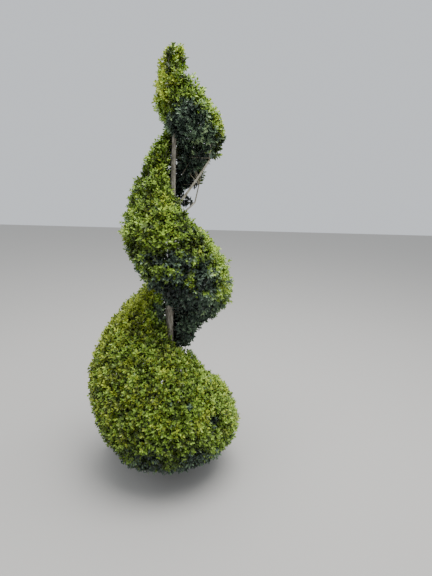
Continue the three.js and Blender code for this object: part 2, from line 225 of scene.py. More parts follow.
def place_round(turn, radius, height):
    """Points at a turn, a distance from the trunk's middle and a height: turn 0 is on the left"""
    angle = math.pi + TAU * turn
    x = trunk_offset(height) + radius * np.cos(angle)
    return np.stack(np.broadcast_arrays(x, radius * np.sin(angle), height), -1)


def curve_points(start, bend, tip, share):
    """Points on curves that leave start towards bend and reach tip from bend"""
    share = np.asarray(share)[..., None]
    return start * (1 - share) ** 2 + bend * 2 * share * (1 - share) + tip * share ** 2


def bough_line(bough, share):
    root = place_round(bough["turn"], 0, bough["root_height"])
    tip = place_round(bough["turn"], bough["reach"], bough["height"])
    bend = (root + tip) / 2 - np.array((0, 0, BOUGH_SAG))
    return curve_points(root, bend, tip, share)


def unit(vectors):
    return vectors / np.maximum(np.linalg.norm(vectors, axis=-1, keepdims=True), SHORTEST_VECTOR)


pale_bark = bark_material("pale_bark", *PALE_BARK_COLOURS)
for shift, (bough_name, bough) in enumerate(BOUGHS.items(), start=1):
    shares = np.linspace(0, 1, BOUGH_RINGS)
    centres = bough_line(bough, shares)
    directions = unit(np.gradient(centres, axis=0))
    first_axes = unit(np.cross(directions, (0, 0, 1.0)))
    taper = bough["radius"] * (1 + (BOUGH_TAPER - 1) * shares)
    collar = 1 + COLLAR_SHARE * np.exp(-shares / COLLAR_LENGTH_SHARE)
    lengths = shares * (bough["height"] - bough["root_height"])
    relief = BOUGH_RELIEF_SHARE * bark_relief(lengths, BOUGH_SIDES, shift)
    limb = limb_mesh("bare_" + bough_name, centres, (taper * collar)[:, None] * (1 + relief),
                     first_axes, np.cross(directions, first_axes))
    limb.data.materials.append(pale_bark)
    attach(limb, "root")
    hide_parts(bough_name)

# The wood inside the masses
# The band of foliage is a rule: stations every half turn give its groove, reach and fullness. In each mass
# a stem forks into two branches along its heart. Main twigs leave them, side twigs leave those, and the
# year's leafy shoots leave the side twigs and end under the outline. All are round wood with thin pale bark.
FIRST_STATION = -1
FIRST_TURN = -0.75
LAST_TURN = 2.95
STATION_STEP = 0.5
# A station's groove is the height of the groove's middle, and its gap is how far the foliage stays off that.
# The band is widest at a share of its height. Upper and lower are its fullness: 2 is round, less is leaner.
STATIONS = [
    {"groove": 1.785, "gap": 0.010, "reach": 0.034, "widest": 0.50, "upper": 2.2, "lower": 2.2},
    {"groove": 1.614, "gap": 0.013, "reach": 0.040, "widest": 0.50, "upper": 2.4, "lower": 2.2},
    {"groove": 1.440, "gap": 0.022, "reach": 0.075, "widest": 0.46, "upper": 2.1, "lower": 2.0},
    {"groove": 1.202, "gap": 0.118, "reach": 0.204, "widest": 0.32, "upper": 1.6, "lower": 1.3},
    {"groove": 0.832, "gap": 0.042, "reach": 0.198, "widest": 0.36, "upper": 1.5, "lower": 1.6},
    {"groove": 0.583, "gap": 0.084, "reach": 0.262, "widest": 0.40, "upper": 1.7, "lower": 2.2},
    {"groove": 0.160, "gap": 0.040, "reach": 0.340, "widest": 0.42, "upper": 1.65, "lower": 2.3},
    {"groove": -0.400, "gap": 0.040, "reach": 0.320, "widest": 0.38, "upper": 1.9, "lower": 2.0},
    {"groove": -0.900, "gap": 0.040, "reach": 0.310, "widest": 0.38, "upper": 1.9, "lower": 2.0},
]
MASSES = [
    {"name": "top_foliage", "from": FIRST_TURN, "to": 0.2},
    {"name": "upper_right_foliage", "from": 0.2, "to": 0.6, "bough": "right_front_bough"},
    {"name": "upper_back_foliage", "from": 0.6, "to": 1.0, "bough": "right_back_bough"},
    {"name": "middle_left_foliage", "from": 1.0, "to": 1.3},
    {"name": "middle_right_foliage", "from": 1.3, "to": 1.6},
    {"name": "middle_back_foliage", "from": 1.6, "to": 1.9},
    {"name": "lower_left_foliage", "from": 1.9, "to": 2.15},
    {"name": "lower_front_foliage", "from": 2.15, "to": 2.4},
    {"name": "lower_right_foliage", "from": 2.4, "to": 2.65},
    {"name": "lower_back_foliage", "from": 2.65, "to": 2.95},
]
GROUND_CLEARANCE = 0.050
THINNEST_BAND = 0.024
THINNEST_FOLIAGE = 0.001
CORE_DEPTH = 0.058
CORE_DEPTH_SHARE = 0.46
CORE_TRUNK_GAP = 0.011
SPACE_MARGIN = 0.0025
BOUGH_SPOTS = 12
STEM_RADIUS = 0.009
STEM_STEPS = 7
STEM_REACH = 0.050
BOUGH_END_SHARE = 0.9
FORK_OUTWARD_SHARE = 0.70
BRANCH_SHARE = 0.85
BRANCH_STEPS = 12
BRANCH_SIDES = 10
BRANCH_THICK_SHARE = 0.80
BRANCH_THIN_SHARE = 0.35
BOUGH_TWIG_SHARE = 0.65
TWIG_BARK_COLOURS = ((0.16, 0.14, 0.10, 1), (0.30, 0.27, 0.20, 1), (0.42, 0.38, 0.29, 1))
TWIG_BEND_SHARE = 0.55
TWIG_OUTWARD = 0.7
LAST_START_SHARE = 0.95
START_DROP = 0.8
START_LIMITS = (0.15, 0.92)
SHORTEST_PARENT = 1e-4
MAIN_TWIG_TRIES = 2500
MAIN_TWIG_SPACING = 1.5
LEAF_LENGTH_MIN = 0.042
LEAF_LENGTH_GAIN = 0.12
FIRST_SEED = 101
SEED_STEP = 17
SEED_FACTOR = 1664525
SEED_ADDEND = 1013904223
SEED_RANGE = 2 ** 32
MAIN_TWIG_DEPTH = 0.034
MAIN_TWIG_AIM = {"upward": 0.3, "play": 0.12}
MAIN_TWIG_RADII = (0.0030, 0.0018)
ACROSS_LIMIT = 0.985
OUTLINE_STEP = 0.002
PLACES_PER_TRY = 4
WHORL_TURNS = 0.5
SIDE_TWIG_SPACING = 0.030
SIDE_TWIG_TRIES = 20000
SIDE_TWIG_DEPTH = 0.022
SIDE_TWIG_AIM = {"upward": 0.35, "play": 0.15}
SIDE_TWIG_RADII = (0.0017, 0.0011)
SHOOT_SPACING = 0.0125
SHOOT_TRIES = 130000
SHOOT_AIM = {"upward": 0.45, "play": 0.22}
LONGEST_SHOOT = 0.085
SHOOT_RADII = (0.0010, 0.0006)
TUFT_TONE_PLAY = 0.09
GROWTH_SEED = 7

# How far under the outline the shoots end: the clipped tips stand highest in the middle of each tuft, and
# the upper turns are looser than the lowest one. A few places differ from what lies round them: hollows
# where the shears went too deep, dark and bluish with painted shade, flanks in painted shade, and golden new
# growth.
SHOOT_DEPTH = 0.006
TUFT_DEPTH = 0.009
TUFT_EDGE_LIMIT = 1.3
DEPTH_PLAY = 0.002
LOOSE_PATCHES_PER_METRE = 16
LOOSE_DEPTHS = {"turns": (0.0, 1.6, 1.9), "depths": (0.016, 0.016, 0.008)}
STRAY_SHARE = 0.008
STRAY_TURNS = (0.3, 1.9)
STRAY_REACH = (0.008, 0.024)
STRAY_UPWARD = -0.10
# A place adds to what its spot on the outline has, and fades out over its width. More depth is further in,
# more tone is lighter, more warmth is more golden, and play is how much the sprays there differ. Much of the
# tone and warmth here is painted light and shade: darker, bluer leaves in hollows, cuts, furrows, gaps,
# grooves and shaded flanks, and lighter ones on the lit right rim.
PLACES = {
    "the top's left edge": {"turn": 0.14, "across": 0.20, "width": 0.120, "depth": 0.004, "tone": 0.06,
                            "warmth": 0.10},
    "the top's left shoulder": {"turn": 0.13, "across": 0.50, "width": 0.040, "depth": 0.006},
    "growth at the top's front": {"turn": 0.20, "across": 0.90, "width": 0.030, "depth": -0.012,
                                  "tone": 0.10},
    "the top's left foot": {"turn": 0.155, "across": -0.22, "width": 0.034, "depth": 0.012},
    "shade at the wing's root": {"turn": 0.31, "across": 0.05, "width": 0.045, "tone": -0.22,
                                 "warmth": -0.35},
    # Painted shade in the wing: bluer leaves, lifted from the darker painted shade of the underside and the
    # trunk's side.
    "painted bluish shade inside the wing": {"turn": 0.34, "across": -0.30, "width": 0.070, "tone": 0.22,
                                      "warmth": -0.42, "play": 0.08},
    "painted bluish shade under the wing": {"turn": 0.42, "across": -0.60, "width": 0.070, "tone": 0.50,
                                     "warmth": -0.42, "play": 0.08},
    "the wing's golden edge": {"turn": 0.43, "across": 0.15, "width": 0.060, "tone": 0.04, "warmth": 0.12},
    "the wing's foot": {"turn": 0.52, "across": -0.26, "width": 0.030, "depth": 0.010},
    "a flat over the left bulge": {"turn": 1.02, "across": 0.54, "width": 0.046, "depth": 0.024},
    "the left bulge": {"turn": 1.06, "across": 0.10, "width": 0.030, "depth": -0.013},
    # Painted shade darkens the leaves in this cut and along the left furrow.
    "a cut under the left bulge": {"turn": 1.11, "across": 0.00, "width": 0.034, "depth": 0.022,
                                   "tone": -0.10},
    "the left furrow's start": {"turn": 1.18, "across": 0.00, "width": 0.026, "depth": 0.022, "tone": -0.34,
                                "warmth": -0.30},
    "the left furrow's middle": {"turn": 1.21, "across": 0.06, "width": 0.026, "depth": 0.024, "tone": -0.34,
                                 "warmth": -0.30},
    "the left furrow's end": {"turn": 1.245, "across": 0.12, "width": 0.026, "depth": 0.018, "tone": -0.34,
                              "warmth": -0.30},
    "a tuft under the left furrow": {"turn": 1.20, "across": -0.18, "width": 0.034, "tone": -0.05,
                                     "warmth": 0.06},
    # Painted shade darkens the leaves in this gap.
    "a gap at the left foot": {"turn": 1.24, "across": -0.40, "width": 0.032, "depth": 0.014, "tone": -0.26,
                               "warmth": -0.30},
    "the shaded right flank": {"turn": 1.32, "across": -0.10, "width": 0.085, "tone": -0.20, "warmth": -0.28,
                               "play": 0.16},
    "shade high on the right flank": {"turn": 1.33, "across": 0.40, "width": 0.060, "tone": -0.14,
                                      "play": 0.10},
    # Painted shade darkens the leaves in these two hollows.
    "a hollow in the right flank": {"turn": 1.33, "across": 0.10, "width": 0.022, "depth": 0.022,
                                    "tone": -0.40},
    "a hollow by the left furrow": {"turn": 1.29, "across": 0.06, "width": 0.022, "depth": 0.020,
                                    "tone": -0.40},
    "new growth on the right flank": {"turn": 1.31, "across": -0.14, "width": 0.022, "depth": -0.006,
                                      "tone": 0.12, "warmth": 0.34},
    "a tuft high on the right flank": {"turn": 1.32, "across": 0.16, "width": 0.016, "depth": -0.006,
                                       "tone": 0.30, "warmth": 0.20},
    "the right rim": {"turn": 1.42, "across": 0.10, "width": 0.060, "depth": -0.006, "tone": 0.01,
                      "play": 0.20},
    # Painted light: the rim's low end is lighter, as lit.
    "the right rim's low end": {"turn": 1.40, "across": -0.26, "width": 0.040, "depth": -0.002, "tone": 0.12},
    "shade at the right foot": {"turn": 1.36, "across": -0.55, "width": 0.070, "tone": -0.12},
    # Painted shade darkens these tufts in the groove under the right foot.
    "growth at the right foot": {"turn": 1.54, "across": -0.68, "width": 0.050, "depth": -0.010,
                                 "tone": -0.10},
    "growth under the right foot": {"turn": 1.53, "across": -0.91, "width": 0.045, "depth": -0.056,
                                    "tone": -0.10},
    "growth behind the right foot": {"turn": 1.62, "across": -0.88, "width": 0.045, "depth": -0.050,
                                     "tone": -0.10},
    # Painted shade makes this tuft in the right groove darker and bluer.
    "growth in the right groove": {"turn": 2.50, "across": 0.92, "width": 0.050, "depth": -0.078,
                                   "tone": -0.10, "warmth": -0.30},
    "the golden left shoulder": {"turn": 1.97, "across": 0.70, "width": 0.080, "tone": 0.10, "warmth": 0.30},
    "shade behind the shoulder": {"turn": 2.10, "across": 0.96, "width": 0.055, "depth": -0.022,
                                  "tone": -0.26, "warmth": -0.40},
    # Painted shade makes the leaves in this hole dark and bluish.
    "the lower right hole": {"turn": 2.36, "across": 0.18, "width": 0.029, "depth": 0.024, "tone": -0.44,
                             "warmth": -0.30},
    "shade low on the right": {"turn": 2.31, "across": -0.14, "width": 0.062, "depth": 0.006, "tone": -0.10,
                               "warmth": -0.20},
    "shade low in the middle": {"turn": 2.21, "across": -0.18, "width": 0.070, "depth": 0.006, "tone": -0.12,
                                "warmth": -0.18},
    "growth on the low end": {"turn": 2.92, "across": 0.70, "width": 0.090, "depth": -0.026},
    "growth under the low end": {"turn": 2.93, "across": -0.70, "width": 0.070, "depth": -0.014},
}


def band_measure(key, turn):
    """One of the band's measures at any turn, on a smooth curve through the stations"""
    values = np.array([station[key] for station in STATIONS])
    place = (np.asarray(turn, float) - FIRST_STATION) / STATION_STEP
    index = np.floor(place).astype(int)
    before, start, end, after = (values[np.clip(index + step, 0, len(values) - 1)] for step in (-1, 0, 1, 2))
    u = place - index
    slope = (end - before) * u
    bend = (2 * before - 5 * start + 4 * end - after) * u * u
    swing = (3 * start - before - 3 * end + after) * u * u * u
    return 0.5 * (2 * start + slope + bend + swing)


def band_foot(turn):
    return np.maximum(GROUND_CLEARANCE, band_measure("groove", turn) + band_measure("gap", turn))


def band_ceiling(turn, gap_share):
    """The height of the groove above the band, less a share of the groove's gap"""
    above = turn - 1
    groove = band_measure("groove", above) - gap_share * band_measure("gap", above)
    return np.where(above < FIRST_TURN, PLANT_HEIGHT, groove)


def band_top(turn):
    ceiling = np.minimum(PLANT_HEIGHT, band_ceiling(turn, gap_share=1))
    return np.maximum(ceiling, band_foot(turn) + THINNEST_BAND)


def band_point(turn, across):
    """Points on the band's outline: across goes from -1 at its foot to 1 at its top"""
    foot = band_foot(turn)
    top = band_top(turn)
    widest = foot + band_measure("widest", turn) * (top - foot)
    rising = across >= 0
    fullness = 2 / np.where(rising, band_measure("upper", turn), band_measure("lower", turn))
    angle = np.abs(across) * math.pi / 2
    level = widest + np.where(rising, top - widest, foot - widest) * np.sin(angle) ** fullness
    inner = trunk_radius(level) + CORE_TRUNK_GAP
    outer = np.maximum(band_measure("reach", turn), inner + THINNEST_FOLIAGE)
    radius = inner + (outer - inner) * np.abs(np.cos(angle)) ** fullness
    return place_round(turn, radius, level)


def heart_point(turn):
    """The middle of the band's section, where the branches run"""
    foot = band_foot(turn)
    height = foot + band_measure("widest", turn) * (band_top(turn) - foot)
    room = band_measure("reach", turn) - trunk_radius(foot) - CORE_TRUNK_GAP
    depth = np.minimum(CORE_DEPTH, CORE_DEPTH_SHARE * room)
    inner = trunk_radius(height) + CORE_TRUNK_GAP
    return place_round(turn, (inner + band_measure("reach", turn) - depth) / 2, height)


def in_band(points, near_turn):
    """Whether points lie in the band's own space: off the trunk, the grooves' middles and the boughs"""
    dx = points[..., 0] - trunk_offset(points[..., 2])
    reach = np.hypot(dx, points[..., 1])
    raw = (np.arctan2(points[..., 1], dx) - math.pi) / TAU
    turn = raw + np.round(near_turn - raw)
    floor = np.maximum(band_measure("groove", turn), 0) + SPACE_MARGIN
    inside = (turn > FIRST_TURN) & (turn < LAST_TURN) & (reach > trunk_radius(points[..., 2]) + SPACE_MARGIN)
    inside &= (points[..., 2] > floor) & (points[..., 2] < band_ceiling(turn, gap_share=0) - SPACE_MARGIN)
    for bough in BOUGHS.values():
        for spot in bough_line(bough, np.linspace(0, 1, BOUGH_SPOTS)):
            inside &= np.linalg.norm(points - spot, axis=-1) > bough["radius"] + SPACE_MARGIN
    return inside


def chosen(values, mask):
    return {key: value[mask] for key, value in values.items()}


def gathered(groups):
    return {key: np.concatenate([group[key] for group in groups]) for key in groups[0]}


def seeded_numbers(seed):
    """The frame's own row of numbers from 0 to 1, so that the main twigs stand where its twigs do"""
    state = seed
    while True:
        state = (state * SEED_FACTOR + SEED_ADDEND) % SEED_RANGE
        yield state / SEED_RANGE


def main_twig_places(mass, seed):
    """Where on the outline a mass's main twigs point, by throwing the frame's darts again"""
    numbers = seeded_numbers(seed)
    throws = np.array([next(numbers) for _ in range(2 * MAIN_TWIG_TRIES)]).reshape(-1, 2)
    turns = mass["from"] + (mass["to"] - mass["from"]) * throws[:, 0]
    across = 2 * throws[:, 1] - 1
    points = band_point(turns, across)
    spacings = MAIN_TWIG_SPACING * (LEAF_LENGTH_MIN + LEAF_LENGTH_GAIN * band_measure("reach", turns))
    kept = []
    for index, point in enumerate(points):
        if all(np.linalg.norm(points[other] - point) > spacings[index] for other in kept):
            kept.append(index)
    return turns[kept], across[kept], points[kept]


def outline_places(spacing, tries, random):
    """Places all over the band's outline, evenly apart, and the way out of it there"""
    turn = random.uniform(FIRST_TURN, LAST_TURN, PLACES_PER_TRY * tries)
    across = random.uniform(-ACROSS_LIMIT, ACROSS_LIMIT, PLACES_PER_TRY * tries)
    along = band_point(turn + OUTLINE_STEP, across) - band_point(turn - OUTLINE_STEP, across)
    rise = band_point(turn, across + OUTLINE_STEP) - band_point(turn, across - OUTLINE_STEP)
    normal = np.cross(along, rise)
    area = np.linalg.norm(normal, axis=1)
    picked = random.choice(len(turn), tries, p=area / area.sum())
    turn, across, normal = turn[picked], across[picked], unit(normal[picked])
    point = band_point(turn, across)
    inward = np.sum(normal * (point - heart_point(turn)), axis=1) < 0
    normal[inward] *= -1
    cells = {}
    kept = []
    for index, (x, y, z, whorl) in enumerate(np.column_stack([point, turn]).tolist()):
        cell = (int(x // spacing), int(y // spacing), int(z // spacing))
        near = (other for right in (-1, 0, 1) for back in (-1, 0, 1) for up in (-1, 0, 1)
                for other in cells.get((cell[0] + right, cell[1] + back, cell[2] + up), ()))
        if all((x - near_x) ** 2 + (y - near_y) ** 2 + (z - near_z) ** 2 > spacing ** 2
               or abs(whorl - near_whorl) > WHORL_TURNS
               for near_x, near_y, near_z, near_whorl in near):
            kept.append(index)
            cells.setdefault(cell, []).append((x, y, z, whorl))
    return chosen({"turn": turn, "across": across, "point": point, "normal": normal}, kept)


def nearest(points, others):
    """Which of the others is nearest to each point, and how far off it is"""
    apart = np.linalg.norm(points[:, None] - others[None], axis=2)
    return apart.argmin(1), apart.min(1)


def place_effect(points, key):
    """How much the places round about change the depth, tone, warmth or play at points on the outline"""
    effect = np.zeros(len(points))
    for place in PLACES.values():
        if key in place:
            apart = np.linalg.norm(points - band_point(place["turn"], place["across"]), axis=1)
            effect += place[key] * np.exp(-(apart / place["width"]) ** 2)
    return effect


def patch_noise(points, per_metre, shift=0):
    """Slow noise at points: patches to the metre, and how far along its field it's read"""
    aside = Vector((shift, 0, 0))
    return np.array([noise.noise(Vector(point) * per_metre + aside) for point in points])


def shoot_depths(places, tufts, random):
    """How far under the outline the shoots end. A stray that the shears missed ends outside it"""
    _, apart = nearest(places["point"], tufts["point"])
    looseness = np.interp(places["turn"], LOOSE_DEPTHS["turns"], LOOSE_DEPTHS["depths"])
    patches = patch_noise(places["point"], LOOSE_PATCHES_PER_METRE)
    tuft_edge = np.minimum(2 * apart / SIDE_TWIG_SPACING, TUFT_EDGE_LIMIT)
    depth = SHOOT_DEPTH + TUFT_DEPTH * tuft_edge ** 2 + looseness * patches
    depth += random.normal(0, DEPTH_PLAY, len(apart)) + place_effect(places["point"], "depth")
    stray = (random.uniform(size=len(apart)) < STRAY_SHARE) & (places["normal"][:, 2] > STRAY_UPWARD)
    stray &= (places["turn"] > STRAY_TURNS[0]) & (places["turn"] < STRAY_TURNS[1])
    return np.where(stray, -random.uniform(*STRAY_REACH, len(apart)), depth)


def grown_twigs(starts, tips, aims):
    """Curved twigs from their starts to their tips, which they reach along their aims"""
    length = np.linalg.norm(tips - starts, axis=1, keepdims=True)
    return {"start": starts, "bend": tips - aims * TWIG_BEND_SHARE * length, "tip": tips}


def twig_aims(starts, tips, normals, upward, play, random):
    """The way twigs point at their tips: on from their starts, out of the outline and up to the light"""
    wander = play * random.normal(size=tips.shape)
    return unit(unit(tips - starts) + TWIG_OUTWARD * normals + np.array((0, 0, upward)) + wander)


def twigs_from(parents, places, depth, aim, random):
    """Twigs that leave the nearest of their parents, the further off the lower, and end under the outline"""
    tips = places["point"] - places["normal"] * depth[:, None]
    index, apart = nearest(tips, parents["tip"])
    start, bend, tip = (parents[key][index] for key in ("start", "bend", "tip"))
    length = np.maximum(np.linalg.norm(tip - start, axis=1), SHORTEST_PARENT)
    share = np.clip(LAST_START_SHARE - START_DROP * apart / length, *START_LIMITS)
    begins = curve_points(start, bend, tip, share)
    aims = twig_aims(begins, tips, places["normal"], aim["upward"], aim["play"], random)
    twigs = grown_twigs(begins, tips, aims)
    return {**twigs, **places, "depth": depth, "thickness": parents["thickness"][index],
            "tuft_tone": parents["tuft_tone"][index]}


def branch_points(mass, stem_turn, fork, turns):
    """Where a mass's two branches pass some turns: they part at the stem's fork and run on in the heart"""
    end_turn = np.where(turns < stem_turn, mass["from"], mass["to"])
    share = (turns - stem_turn) / (end_turn - stem_turn)
    held = stem_turn + (turns - stem_turn) * BRANCH_SHARE
    return heart_point(held) + (fork - heart_point(stem_turn)) * (1 - share[..., None]) ** 2


random = np.random.default_rng(GROWTH_SEED)
tuft_places = outline_places(SIDE_TWIG_SPACING, SIDE_TWIG_TRIES, random)
shoot_places = outline_places(SHOOT_SPACING, SHOOT_TRIES, random)
wood_lines = []
main_groups, side_groups, shoot_groups = [], [], []
for number, mass in enumerate(MASSES):
    bough = BOUGHS.get(mass.get("bough"))
    if bough:
        stem_turn, thickness = bough["turn"], BOUGH_TWIG_SHARE
        stem_radius = bough["radius"] * BOUGH_TAPER
        root = bough_line(bough, 1.0)
        onward = root + STEM_REACH * unit(root - bough_line(bough, BOUGH_END_SHARE))
        fork = heart_point(stem_turn) * (1 - FORK_OUTWARD_SHARE) + onward * FORK_OUTWARD_SHARE
    else:
        stem_turn, thickness = (mass["from"] + mass["to"]) / 2, 1
        stem_radius = STEM_RADIUS
        fork = heart_point(stem_turn)
        root = place_round(stem_turn, trunk_radius(fork[2]) / 2, fork[2])
    stem = root + (fork - root) * np.linspace(0, 1, STEM_STEPS)[:, None]
    wood_lines.append((stem, stem_radius, stem_radius * BRANCH_THICK_SHARE))
    for end_turn in (mass["from"], mass["to"]):
        steps = np.linspace(stem_turn, end_turn, BRANCH_STEPS)
        branch = branch_points(mass, stem_turn, fork, steps)
        wood_lines.append((branch, stem_radius * BRANCH_THICK_SHARE, stem_radius * BRANCH_THIN_SHARE))

    turns, across, points = main_twig_places(mass, FIRST_SEED + SEED_STEP * number)
    starts = branch_points(mass, stem_turn, fork, turns)
    index, apart = nearest(points, stem)
    from_stem = apart < np.linalg.norm(points - starts, axis=1)
    starts[from_stem] = stem[index[from_stem]]
    outward = unit(points - starts)
    tips = points - outward * MAIN_TWIG_DEPTH
    aims = twig_aims(starts, tips, outward, MAIN_TWIG_AIM["upward"], MAIN_TWIG_AIM["play"], random)
    main = grown_twigs(starts, tips, aims)
    level = np.ones(len(turns))
    main.update(turn=turns, across=across, point=points, normal=outward, depth=MAIN_TWIG_DEPTH * level,
                thickness=thickness * level, tuft_tone=0 * level)

    tufts, tips = (chosen(places, (places["turn"] >= mass["from"]) & (places["turn"] < mass["to"]))
                   for places in (tuft_places, shoot_places))
    side_depths = SIDE_TWIG_DEPTH + place_effect(tufts["point"], "depth")
    side = twigs_from(main, tufts, side_depths, SIDE_TWIG_AIM, random)
    side["tuft_tone"] = random.normal(0, TUFT_TONE_PLAY, len(side["turn"]))
    leafy = twigs_from(side, tips, shoot_depths(tips, tufts, random), SHOOT_AIM, random)
    main_groups.append(main)
    side_groups.append(side)
    fits = in_band(leafy["tip"], leafy["turn"])
    fits &= np.linalg.norm(leafy["tip"] - leafy["start"], axis=1) < LONGEST_SHOOT
    shoot_groups.append(chosen(leafy, fits))
main_twigs, side_twigs, shoots = (gathered(groups) for groups in (main_groups, side_groups, shoot_groups))


def write_attribute(mesh, name, data_type, values):
    """Gives each point of a mesh one number, or one vector"""
    attribute = mesh.attributes.new(name, data_type, "POINT")
    attribute.data.foreach_set("value" if data_type == "FLOAT" else "vector", values.ravel())


def wood_mesh(name, lines, radii):
    """Rows of points as a mesh of edges that carries the wood's radius at each point"""
    counts = [len(line) for line in lines]
    points = np.concatenate(lines)
    ends = np.cumsum(counts)
    first = np.arange(len(points) - 1)
    first = first[~np.isin(first + 1, ends)]
    mesh = bpy.data.meshes.new(name)
    mesh.from_pydata(points.tolist(), np.column_stack([first, first + 1]).tolist(), [])
    write_attribute(mesh, "wood_radius", "FLOAT", np.concatenate(radii))
    return mesh


def node_tree(name, inputs):
    """An empty tree of geometry nodes with named inputs, and its group input and output nodes"""
    tree = bpy.data.node_groups.new(name, "GeometryNodeTree")
    tree.interface.new_socket("Geometry", in_out="INPUT", socket_type="NodeSocketGeometry")
    tree.interface.new_socket("Geometry", in_out="OUTPUT", socket_type="NodeSocketGeometry")
    for label, socket_type in inputs.items():
        tree.interface.new_socket(label, in_out="INPUT", socket_type=socket_type)
    return tree, tree.nodes.new("NodeGroupInput"), tree.nodes.new("NodeGroupOutput")


def finish_tree(tree, made, given, result):
    """Realizes what a tree has made, gives it the material, and sends it out"""
    realize = tree.nodes.new("GeometryNodeRealizeInstances")
    finish = tree.nodes.new("GeometryNodeSetMaterial")
    tree.links.new(made, realize.inputs["Geometry"])
    tree.links.new(realize.outputs["Geometry"], finish.inputs["Geometry"])
    tree.links.new(given.outputs["Material"], finish.inputs["Material"])
    tree.links.new(finish.outputs["Geometry"], result.inputs["Geometry"])


def named_attribute(tree, name, data_type):
    node = tree.nodes.new("GeometryNodeInputNamedAttribute")
    node.data_type = data_type
    node.inputs["Name"].default_value = name
    return node.outputs["Attribute"]


def grown_piece(name, base, tree, values, replaced):
    """Runs a tree of nodes on a mesh, and keeps the result as a plain mesh that rides on the frame"""
    source = bpy.data.objects.new(name, base)
    bpy.context.scene.collection.objects.link(source)
    modifier = source.modifiers.new("growth", "NODES")
    modifier.node_group = tree
    for socket in tree.interface.items_tree:
        if socket.in_out == "INPUT" and socket.name in values:
            modifier[socket.identifier] = values[socket.name]
    evaluated = source.evaluated_get(bpy.context.evaluated_depsgraph_get())
    mesh = bpy.data.meshes.new_from_object(evaluated)
    source.modifiers.remove(modifier)
    source.data = mesh
    mesh.name = name
    for attribute in [a.name for a in mesh.attributes if a.name.startswith(("wood_", "leaf_"))]:
        mesh.attributes.remove(mesh.attributes[attribute])
    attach(source, "root")
    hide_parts(*replaced)


wood_sockets = {"Sides": "NodeSocketInt", "Material": "NodeSocketMaterial"}
wood_tree, wood_input, wood_output = node_tree("round_wood", wood_sockets)
wood_curve = wood_tree.nodes.new("GeometryNodeMeshToCurve")
wood_ring = wood_tree.nodes.new("GeometryNodeCurvePrimitiveCircle")
wood_ring.inputs["Radius"].default_value = 1
wood_skin = wood_tree.nodes.new("GeometryNodeCurveToMesh")
wood_skin.inputs["Fill Caps"].default_value = True
wood_tree.links.new(wood_input.outputs["Geometry"], wood_curve.inputs["Mesh"])
wood_tree.links.new(wood_input.outputs["Sides"], wood_ring.inputs["Resolution"])
wood_tree.links.new(wood_curve.outputs["Curve"], wood_skin.inputs["Curve"])
wood_tree.links.new(wood_ring.outputs["Curve"], wood_skin.inputs["Profile Curve"])
wood_tree.links.new(named_attribute(wood_tree, "wood_radius", "FLOAT"), wood_skin.inputs["Scale"])
finish_tree(wood_tree, wood_skin.outputs["Mesh"], wood_input, wood_output)

mass_names = [mass["name"] for mass in MASSES]
twig_bark = bark_material("twig_bark", *TWIG_BARK_COLOURS)
branch_lines = [points for points, _, _ in wood_lines]
branch_radii = [np.linspace(thick, thin, len(points)) for points, thick, thin in wood_lines]
grown_piece("foliage_branches", wood_mesh("branches", branch_lines, branch_radii), wood_tree,
            {"Sides": BRANCH_SIDES, "Material": twig_bark}, mass_names)
TWIG_KINDS = {
    "foliage_main_twigs": {"twigs": main_twigs, "radii": MAIN_TWIG_RADII, "rings": 8, "sides": 6},
    "foliage_side_twigs": {"twigs": side_twigs, "radii": SIDE_TWIG_RADII, "rings": 5, "sides": 4},
    "foliage_shoots": {"twigs": shoots, "radii": SHOOT_RADII, "rings": 3, "sides": 3},
}
for name, kind in TWIG_KINDS.items():
    twigs = kind["twigs"]
    thick, thin = kind["radii"]
    shares = np.linspace(0, 1, kind["rings"])
    lines = curve_points(twigs["start"][:, None], twigs["bend"][:, None], twigs["tip"][:, None], shares[None])
    radii = twigs["thickness"][:, None] * (thick + (thin - thick) * shares)
    grown_piece(name, wood_mesh(name, list(lines), list(radii)), wood_tree,
                {"Sides": kind["sides"], "Material": twig_bark}, mass_names)

# The leaves
# Small oval leaves stand in opposite pairs, each pair crosswise to the last, thick and glossy above. The
# newest at a shoot's tip are short, pale and nearly upright, and the older ones below are dark and spread.
# Tone picks a leaf's shade, from 0 for deep to 1 for young, and warmth its hue, from bluish up to golden.
# Both carry painted light and shade as well as the leaves' own colour.
LEAF_LENGTH = 0.0195
LEAF_WIDTH_SHARE = 0.52
BLADE_EDGE = ((0.92, 0.27, 0.07), (0.88, 0.70, 0.04))
BLADE_TIP_DROP = 0.06
LEAF_ROUGHNESS = 0.34
LEAF_SHINE = 0.38
LEAF_LOSS = 0.05
LEAFING = {
    "shoot": {"twigs": shoots, "pairs": 10, "apart": 0.0058, "young_pairs": 3},
    "side_twig": {"twigs": side_twigs, "pairs": 12, "apart": 0.0075, "young_pairs": 0},
    "main_twig": {"twigs": main_twigs, "pairs": 14, "apart": 0.0085, "young_pairs": 0},
}
TIP_LEAF_SHARE = 0.65
VIGOUR_RANGE = (0.85, 1.15)
LENGTH_RANGE = (0.85, 1.12)
SKY_OUTWARD = 0.5
SHORTEST_TWIG = 0.01
LOWEST_LEAF_SHARE = 0.03
PAIR_TURN_PLAY = 0.2
TIP_SPREAD = 0.6
OLD_SPREAD = 1.15
SPREAD_PLAY = 0.12
FACE_SKYWARD = 0.45
FACE_PLAY = 0.25
YOUNG_TONE = 0.17
OLD_TONE = -0.10
